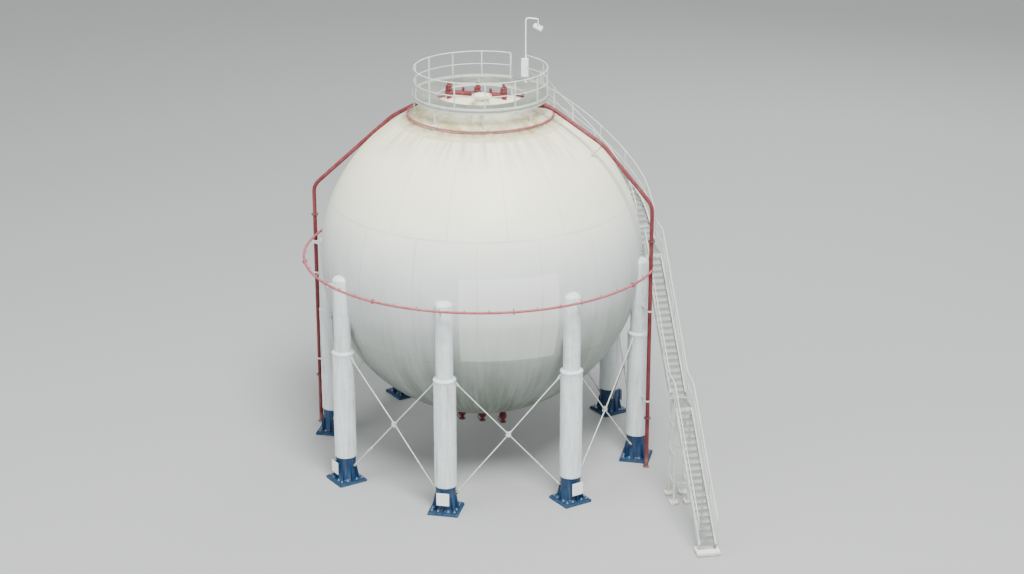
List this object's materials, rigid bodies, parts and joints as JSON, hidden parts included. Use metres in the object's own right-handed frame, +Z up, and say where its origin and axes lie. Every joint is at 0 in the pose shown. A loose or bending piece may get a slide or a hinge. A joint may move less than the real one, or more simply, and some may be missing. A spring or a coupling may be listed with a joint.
{
  "type": "spherical gas tank",
  "caption": "Spherical pressure tank for liquefied gas on braced columns, with a straight and curved stair, top platform, railings and red spray pipes.",
  "frame": {"origin": "on the ground, in the middle of the whole part's footprint, stair included; the tank's own axis is 1.832 m to -X and 0.651 m to +Y of it", "axes": "+Z up; the tank's first column is on its -Y side, and the stair is on its +X side, starting at the ground towards -Y"},
  "size_m": [19.0162, 16.2508, 18.36],
  "materials": {
    "shell_paint": "weathered off-white paint, satin",
    "fireproofing_paint": "white paint over fireproofing and pipe, matt",
    "base_paint": "deep blue paint, satin",
    "red_paint": "dark red paint, satin",
    "faded_red_paint": "faded red paint, matt",
    "rail_paint": "pale grey-green paint, satin",
    "deck_paint": "worn grey paint, matt",
    "concrete": null
  },
  "bodies": {
    "root": {"shell_bottom_crown": "shell_paint", "shell_lower_course": "shell_paint", "shell_equator_course": "shell_paint", "shell_upper_course": "shell_paint", "shell_top_crown": "shell_paint", "column_1": "fireproofing_paint", "column_2": "fireproofing_paint", "column_3": "fireproofing_paint", "column_4": "fireproofing_paint", "column_5": "fireproofing_paint", "column_6": "fireproofing_paint", "column_7": "fireproofing_paint", "column_8": "fireproofing_paint", "column_base_1": "base_paint", "column_base_2": "base_paint", "column_base_3": "base_paint", "column_base_4": "base_paint", "column_base_5": "base_paint", "column_base_6": "base_paint", "column_base_7": "base_paint", "column_base_8": "base_paint", "cross_brace_1": "rail_paint", "cross_brace_2": "rail_paint", "cross_brace_3": "rail_paint", "cross_brace_4": "rail_paint", "cross_brace_5": "rail_paint", "cross_brace_6": "rail_paint", "cross_brace_7": "rail_paint", "cross_brace_8": "rail_paint", "spray_ring_main": "faded_red_paint", "spray_ring_top": "faded_red_paint", "riser_right": "red_paint", "riser_left": "red_paint", "platform_support": "rail_paint", "platform_deck": "deck_paint", "platform_toe_board": "rail_paint", "platform_railing": "rail_paint", "manway": "shell_paint", "relief_valves": "red_paint", "lamp_post": "rail_paint", "bottom_nozzle_1": "red_paint", "bottom_nozzle_2": "red_paint", "bottom_nozzle_3": "red_paint", "stair_foot_block": "concrete", "stair_lower_flight": "rail_paint", "stair_mid_landing": "rail_paint", "stair_upper_flight": "rail_paint", "stair_top_landing": "rail_paint", "stair_handrail_outer": "rail_paint", "stair_handrail_inner": "rail_paint", "stair_curved_flight": "rail_paint", "stair_curved_handrail_outer": "rail_paint", "stair_curved_handrail_inner": "rail_paint"}
  },
  "joints": []
}
